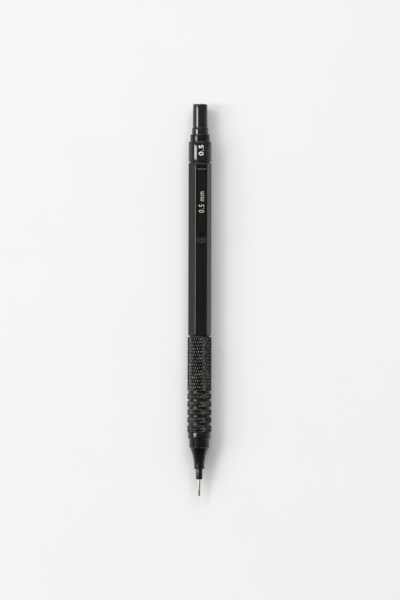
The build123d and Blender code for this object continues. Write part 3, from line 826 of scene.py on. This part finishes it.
def strip_surface():
    """Outer skin of the strip: strands along the bent line, side by side, each ending on the round lip."""
    across = np.sin(np.linspace(-math.pi / 2, math.pi / 2, 15))
    fine_from = run[-1] - FINE_ZONE
    rows = np.concatenate([np.arange(0, fine_from, ROW_STEP), np.linspace(fine_from, run[-1], 24)])
    fall = 1 - np.sqrt(1 - (LIP_FULLNESS * across) ** 2)
    short = LIP_BULGE * fall / (1 - math.sqrt(1 - LIP_FULLNESS**2))
    share = np.clip((rows[:, None] - (run[-1] - LIP_ZONE)) / LIP_ZONE, 0, 1)
    along = rows[:, None] - share * short[None, :]
    station, height = line_at(along)
    before, after = line_at(along - SLOPE_STEP), line_at(along + SLOPE_STEP)
    slope_s, slope_h = after[0] - before[0], after[1] - before[1]
    size = np.hypot(slope_s, slope_h)
    out_s, out_h = slope_h / size, -slope_s / size
    x = across[None, :] * strip_half_width(station, height)
    y = POINT_Y + station + out_s * CLIP_T / 2
    z = AXIS_Z + HEX_FLAT + height + out_h * CLIP_T / 2
    return np.stack([x, y, z], axis=-1)


clip_points = strip_surface()
clip = piece_from("clip", clip_points, grid_faces(*clip_points.shape[:2], False, False))
thick = clip.modifiers.new("sheet", "SOLIDIFY")
thick.thickness, thick.offset, thick.use_even_offset = CLIP_T * MM, -1.0, True
edge = clip.modifiers.new("broken_edges", "BEVEL")
edge.width, edge.segments = 0.07 * MM, 3
edge.limit_method, edge.angle_limit = "ANGLE", math.radians(50)
fit_on(clip, "clip", "pocket_clip", satin_black)

# %% [markdown]
# ## Under the cap and inside the nose
# These show only when the button is pulled off or the nose comes away: the brass tube, the eraser in
# its aluminium cup, the clutch housing, the split chuck and its ring. They are turned outlines too.

# %% Tube, eraser and housing
TUBE_BORE_R = 1.85
lead_tube = turned("lead_tube", [
    (TUBE_START, TUBE_BORE_R), (TUBE_START, TUBE_R, 0.1),
    (TUBE_END, TUBE_R, 0.08), (TUBE_END, TUBE_BORE_R, 0.05),
])
fit_on(lead_tube, "lead_tube", "plunger", turned_brass)

CUP_START, CUP_END, CUP_FLANGE_R = span("eraser_cup")
ERASER_START, ERASER_END, ERASER_R = span("eraser")
eraser_cup = turned("eraser_cup", [
    (CUP_START, 0), (CUP_START, TUBE_BORE_R, 0.1), (TUBE_END, TUBE_BORE_R), (TUBE_END, CUP_FLANGE_R, 0.08),
    (CUP_END, CUP_FLANGE_R, 0.12), (CUP_END, ERASER_R, 0.08), (ERASER_START, ERASER_R), (ERASER_START, 0),
])
fit_on(eraser_cup, "eraser_cup", "plunger", drawn_aluminium)

eraser = turned("eraser", [
    (ERASER_START, 0), (ERASER_START, ERASER_R), (ERASER_END, ERASER_R, 0.5), (ERASER_END, 0),
], steps=8)
fit_on(eraser, "eraser", "plunger", eraser_vinyl)

HOUSING_COLLAR_END, HOUSING_COLLAR_R, HOUSING_BORE_R = 23.5, 1.35, 2.2
clutch_housing = turned("clutch_housing", [
    (HOUSING_START, HOUSING_COLLAR_R, 0.08), (HOUSING_START, HOUSING_R, 0.15),
    (HOUSING_END, HOUSING_R, 0.15), (HOUSING_END, HOUSING_BORE_R, 0.1),
    (HOUSING_COLLAR_END, HOUSING_BORE_R), (HOUSING_COLLAR_END, HOUSING_COLLAR_R),
])
fit_on(clutch_housing, "clutch_housing", "housing", turned_brass)

# %% [markdown]
# ### The split chuck and its ring
# A jaw is a third of a turned outline, less half a saw cut on each side: the cut has the same width
# all the way in, so near the axis it takes a larger angle. The ring's bore follows the taper of the
# jaws, and its rear is opened so that the spreading jaws clear it.

# %% Chuck jaws and clutch ring
HEAD_R, JAW_R, JAW_BORE_R, HEAD_BAND, HEAD_END = 1.45, 0.95, 0.4, 0.5, 21.7
JAW_SLIT, LEAD_GRIP, BORE_STEP = 0.14, 2.2, 2.4
JAW_START, JAW_END, _ = span("chuck_jaw_1")
HEAD_TAPER = (HEAD_R - JAW_R) / (HEAD_END - JAW_START - HEAD_BAND)
jaw_outline = rounded([
    (JAW_START, SLEEVE_BORE_R, 0.05), (JAW_START, HEAD_R, 0.2), (JAW_START + HEAD_BAND, HEAD_R, 0.1),
    (HEAD_END, JAW_R, 0.3), (JAW_END, JAW_R), (JAW_END, JAW_BORE_R),
    (JAW_START + BORE_STEP, JAW_BORE_R), (JAW_START + LEAD_GRIP, SLEEVE_BORE_R),
])


def jaw(name, middle):
    """A third of the chuck round the angle `middle`, with flat sawn sides closed by the outline itself."""
    half = math.pi / 3 - np.arcsin(JAW_SLIT / 2 / jaw_outline[:, 1])
    angles = middle + half[:, None] * np.linspace(-1, 1, 33)[None, :]
    points = around(jaw_outline, angles)
    rows, columns = points.shape[:2]
    first_side = [row * columns for row in range(rows)]
    last_side = [corner + columns - 1 for corner in first_side]
    faces = [*grid_faces(rows, columns, True, False).tolist(), first_side, last_side]
    return piece_from(name, points, faces)


for number in (1, 2, 3):
    jaw_low, jaw_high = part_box(f"chuck_jaw_{number}")
    middle = math.atan2((jaw_low.x + jaw_high.x) / 2, (jaw_low.z + jaw_high.z) / 2 - AXIS_Z * MM)
    middle = round(middle / (2 * math.pi / 3)) * 2 * math.pi / 3
    fit_on(jaw(f"chuck_jaw_{number}", middle), f"chuck_jaw_{number}", f"jaw_{number}", turned_brass)

ring_bore = [HEAD_R - HEAD_TAPER * (s - JAW_START - HEAD_BAND) + PLAY for s in (RING_START, RING_END)]
RING_RELIEF = 0.05
clutch_ring = turned("clutch_ring", [
    (RING_START, ring_bore[0], 0.06), (RING_START, RING_R, 0.14), (RING_END, RING_R, 0.14),
    (RING_END, ring_bore[1] + RING_RELIEF, 0.06),
])
fit_on(clutch_ring, "clutch_ring", "ring", turned_brass)

# %% [markdown]
# ### The return spring
# The spring is 0.34 mm wire wound into eleven turns. Its surface is a circle carried along a helix: at each
# place the circle stands square to the wire, and the last circle at each end is shrunk to a point, so the
# wire is closed. It is built at one length here, though in use it shortens as the button goes down.

# %% Return spring
SPRING_FRONT, SPRING_BACK, SPRING_OUTER_R = span("return_spring")
WIRE_R, SPRING_TURNS = 0.17, 11
coil_r = SPRING_OUTER_R - WIRE_R


def coil_surface():
    """Circles of the wire along the helix y = rise(t), (x, z) = R (sin t, cos t), in a frame square to it."""
    t = np.linspace(0, 2 * math.pi * SPRING_TURNS, 24 * SPRING_TURNS + 1)
    share = t / t[-1]
    rise = SPRING_FRONT + WIRE_R + (SPRING_BACK - SPRING_FRONT - 2 * WIRE_R) * share
    centre = np.stack([coil_r * np.sin(t), POINT_Y + rise, AXIS_Z + coil_r * np.cos(t)], axis=-1)
    forward = np.gradient(centre, axis=0)
    forward /= np.linalg.norm(forward, axis=1, keepdims=True)
    outward = np.stack([np.sin(t), np.zeros_like(t), np.cos(t)], axis=-1)
    beside = np.cross(forward, outward)
    turn = np.linspace(0, 2 * math.pi, 12, endpoint=False)
    size = np.full(len(t), WIRE_R)
    size[[0, -1]] = 0
    ring = np.cos(turn)[None, :, None] * outward[:, None] + np.sin(turn)[None, :, None] * beside[:, None]
    return centre[:, None] + size[:, None, None] * ring


coil_points = coil_surface()
coil_faces = grid_faces(*coil_points.shape[:2], False, True)
return_spring = piece_from("return_spring", coil_points, coil_faces, sharp=math.pi)
fit_on(return_spring, "return_spring", "housing", spring_wire)
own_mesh(return_spring)

# %% [markdown]
# ### Pieces that keep their CAD shape
# The rubber retainer, the chuck's stem, the coupling and the spare leads lie deep inside. The shape
# they have in the CAD model is enough for them, so each only gets its own finish.

# %% Hidden pieces keep their CAD shape
hidden_finishes = {
    "lead_retainer": moulded_rubber, "chuck_stem": turned_brass, "tube_coupling": turned_brass,
    "spare_leads": graphite,
}
for node, material in hidden_finishes.items():
    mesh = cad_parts[node].data
    mesh.materials.clear()
    mesh.materials.append(material)
print("kept CAD shape:", sorted(hidden_finishes))

# %% [markdown]
# ## Printed marks
# The lead size is pad-printed: a film of ink about 0.02 mm thick. Lettering starts flat, is made a
# mesh, and is sliced into narrow strips so that it can bend round the band. Blender's own plain font
# is used, with an offset that makes its strokes wider or narrower, and it is stretched to size.

# %% Lettering
INK, STRIP = 0.02, 0.12
BAND_TURN = math.radians(1.5)


def flat_lettering(text, length, height, weight, spacing):
    """Flat mesh of a text, centred, `length` by `height` mm, its strokes widened by `weight`."""
    curve = bpy.data.curves.new("lettering", "FONT")
    curve.body, curve.offset, curve.space_character, curve.resolution_u = text, weight, spacing, 6
    letters = bpy.data.objects.new("lettering", curve)
    bpy.context.scene.collection.objects.link(letters)
    bpy.context.view_layer.update()
    mesh = bpy.data.meshes.new_from_object(letters.evaluated_get(bpy.context.evaluated_depsgraph_get()))
    bpy.data.objects.remove(letters)
    place = np.empty(len(mesh.vertices) * 3)
    mesh.vertices.foreach_get("co", place)
    place = place.reshape(-1, 3)[:, :2]
    low, high = place.min(0), place.max(0)
    place = (place - (low + high) / 2) * np.array([length, height]) / (high - low)
    mesh.vertices.foreach_set("co", np.column_stack([place, np.zeros(len(place))]).ravel())
    return mesh


def print_on(name, text, length, height, weight, spacing, station, wrap, body, material):
    """Print a text that reads from the lead towards the button.

    `wrap` turns each distance across the text into the (x, z) of that place on the printed surface."""
    mesh = flat_lettering(text, length, height, weight, spacing)
    work = bmesh.new()
    work.from_mesh(mesh)
    bmesh.ops.remove_doubles(work, verts=work.verts, dist=1e-5)
    for cut in np.arange(-height / 2 + STRIP, height / 2, STRIP):
        everything = [*work.verts, *work.edges, *work.faces]
        bmesh.ops.bisect_plane(work, geom=everything, plane_co=(0, cut, 0), plane_no=(0, 1, 0))
    work.to_mesh(mesh)
    work.free()
    place = np.empty(len(mesh.vertices) * 3)
    mesh.vertices.foreach_get("co", place)
    along, across, _ = place.reshape(-1, 3).T
    x, z = wrap(across)
    points = np.column_stack([x, POINT_Y + station + along, AXIS_Z + z]) * MM
    mesh.vertices.foreach_set("co", points.ravel())
    mesh.update()
    mesh.name = name
    mark = bpy.data.objects.new(name, mesh)
    bpy.context.scene.collection.objects.link(mark)
    film = mark.modifiers.new("ink_film", "SOLIDIFY")
    film.thickness, film.offset = INK * MM, 1.0
    mesh.materials.append(material)
    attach(mark, body)
    print(name, len(mesh.polygons), "faces")
    return mark


def round_band(across):
    """Bend across round the band, towards -x: the angle is across over the radius, plus a set turn."""
    turn = -across / BAND_R - BAND_TURN
    return BAND_R * np.sin(turn), BAND_R * np.cos(turn)


def on_the_arm(across):
    """Lay across flat on top of the clip's arm."""
    return -across, np.full_like(across, HEX_FLAT + ARM_HEIGHT + CLIP_T / 2)


print_on("size_mark_band", "0.5", 3.7, 1.75, 0.012, 1.13, 123.3,
         round_band, "housing", white_ink)
print_on("size_mark_clip", "0.5 mm", 7.5, 1.9, -0.001, 1.15, 104.85,
         on_the_arm, "pocket_clip", grey_ink)

# %% [markdown]
# ## Table, light and camera
# The table is a plain pale sheet, wide enough that its edge stays far from the pencil. Its white is
# just short of neutral, and varies by less than the eye would notice.

# %% Table
FLOOR = 3.0
floor_corners = [(-FLOOR, -FLOOR, 0), (FLOOR, -FLOOR, 0), (FLOOR, FLOOR, 0), (-FLOOR, FLOOR, 0)]
floor_mesh = bpy.data.meshes.new("table_top")
floor_mesh.from_pydata(floor_corners, [], [(0, 1, 2, 3)])
table = bpy.data.objects.new("table_top", floor_mesh)
bpy.context.scene.collection.objects.link(table)
table_paper, tree, surface, place = finish_named("pale_table", Roughness=0.9, Specular_IOR_Level=0.2)
paper = add(tree, "ShaderNodeTexNoise", [("Vector", place)], Scale=40.0, Detail=3.0)
paper_tint = ramp(tree, paper.outputs["Fac"], (0.3, colour("#E8E9EA")), (0.7, colour("#E9EAEB")))
tree.links.new(paper_tint, surface.inputs["Base Color"])
floor_mesh.materials.append(table_paper)

# %% [markdown]
# ### Soft lights
# Four soft lights stand round the pencil. A low window on the left draws the bright line down every
# turned part and throws the dark shadow. A second window, larger, higher and farther off, throws the
# fainter one. A broad piece of sky lies beyond the button end, and a small, weak wall on the right
# lifts the far side of each part.

# %% Lights
CENTRE = Vector((0, 0, AXIS_Z * MM))


def soft_light(name, turn, height, distance, width, depth, radiance):
    """A rectangular soft light facing the pencil.

    `turn` is the compass angle of the light, 0 at -x and 90 at +y, and `height` its angle over the
    table. The radiance of a flat light is its power over pi times its area, so the power follows."""
    turn, height = math.radians(turn), math.radians(height)
    flat = math.cos(height)
    towards = Vector((-math.cos(turn) * flat, math.sin(turn) * flat, math.sin(height)))
    data = bpy.data.lights.new(name, "AREA")
    data.shape, data.size, data.size_y = "RECTANGLE", width, depth
    data.energy = radiance * math.pi * width * depth
    lamp = bpy.data.objects.new(name, data)
    bpy.context.scene.collection.objects.link(lamp)
    facing = towards.to_track_quat("Z", "Y").to_matrix().to_4x4()
    lamp.matrix_world = Matrix.Translation(CENTRE + distance * towards) @ facing
    return lamp


soft_light("low_window_left", 2.7, 35.5, 2.0, 0.40, 0.95, 13.0)
soft_light("high_window_left", 35, 44.6, 6.0, 2.26, 1.66, 11.1)
soft_light("sky_above_top", 91, 42, 6.0, 4.8, 4.8, 3.4)
soft_light("pale_wall_right", 184, 12, 1.0, 0.4, 0.45, 0.35)

# %% [markdown]
# ### The room
# The room itself is dim, and dimmer towards the point of the pencil, where the maker stands: its
# strength rises from that side to the far side with the direction's share along the pencil.

# %% Dim room
world = bpy.data.worlds.new("room")
bpy.context.scene.world = world
world.use_nodes = True
room = world.node_tree
direction = add(room, "ShaderNodeTexCoord")
parts = add(room, "ShaderNodeSeparateXYZ", [("Vector", direction.outputs["Generated"])])
side = add(room, "ShaderNodeMapRange", [("Value", parts.outputs["Y"])])
for socket, value in (("From Min", -0.7), ("From Max", 0.7), ("To Min", 0.07), ("To Max", 0.46)):
    side.inputs[socket].default_value = value
background = room.nodes["Background"]
background.inputs["Color"].default_value = colour("#FFF8EE")
room.links.new(side.outputs["Result"], background.inputs["Strength"])
bpy.context.scene.view_settings.view_transform = "Standard"

# %% [markdown]
# ### The camera
# The camera looks down from two metres through a long lens. It stands a little to the left of the
# pencil, a lean of 7.2 degrees, so that the clip shows right of the middle.

# %% Camera
LENS_DISTANCE = 2.0
FRAME_HEIGHT = 214.1 * MM
CAMERA_LEAN, TILT = math.radians(7.2), math.radians(0.154)
camera_data = bpy.data.cameras.new("camera")
camera = bpy.data.objects.new("camera", camera_data)
bpy.context.scene.collection.objects.link(camera)
bpy.context.scene.camera = camera
camera_data.lens = camera_data.sensor_width / 2 / (FRAME_HEIGHT / 2 / LENS_DISTANCE)
camera_data.clip_start, camera_data.clip_end = 0.01, 20
AIM = Vector((0.12 * MM, 0.0, AXIS_Z * MM))
towards = Vector((-math.sin(CAMERA_LEAN), 0, math.cos(CAMERA_LEAN)))
stand = Matrix.Translation(AIM + LENS_DISTANCE * towards)
lean = Matrix.Rotation(-CAMERA_LEAN, 4, "Y")
camera.matrix_world = stand @ lean @ Matrix.Rotation(TILT, 4, "Z")
print("lens", round(camera_data.lens, 1), "mm")
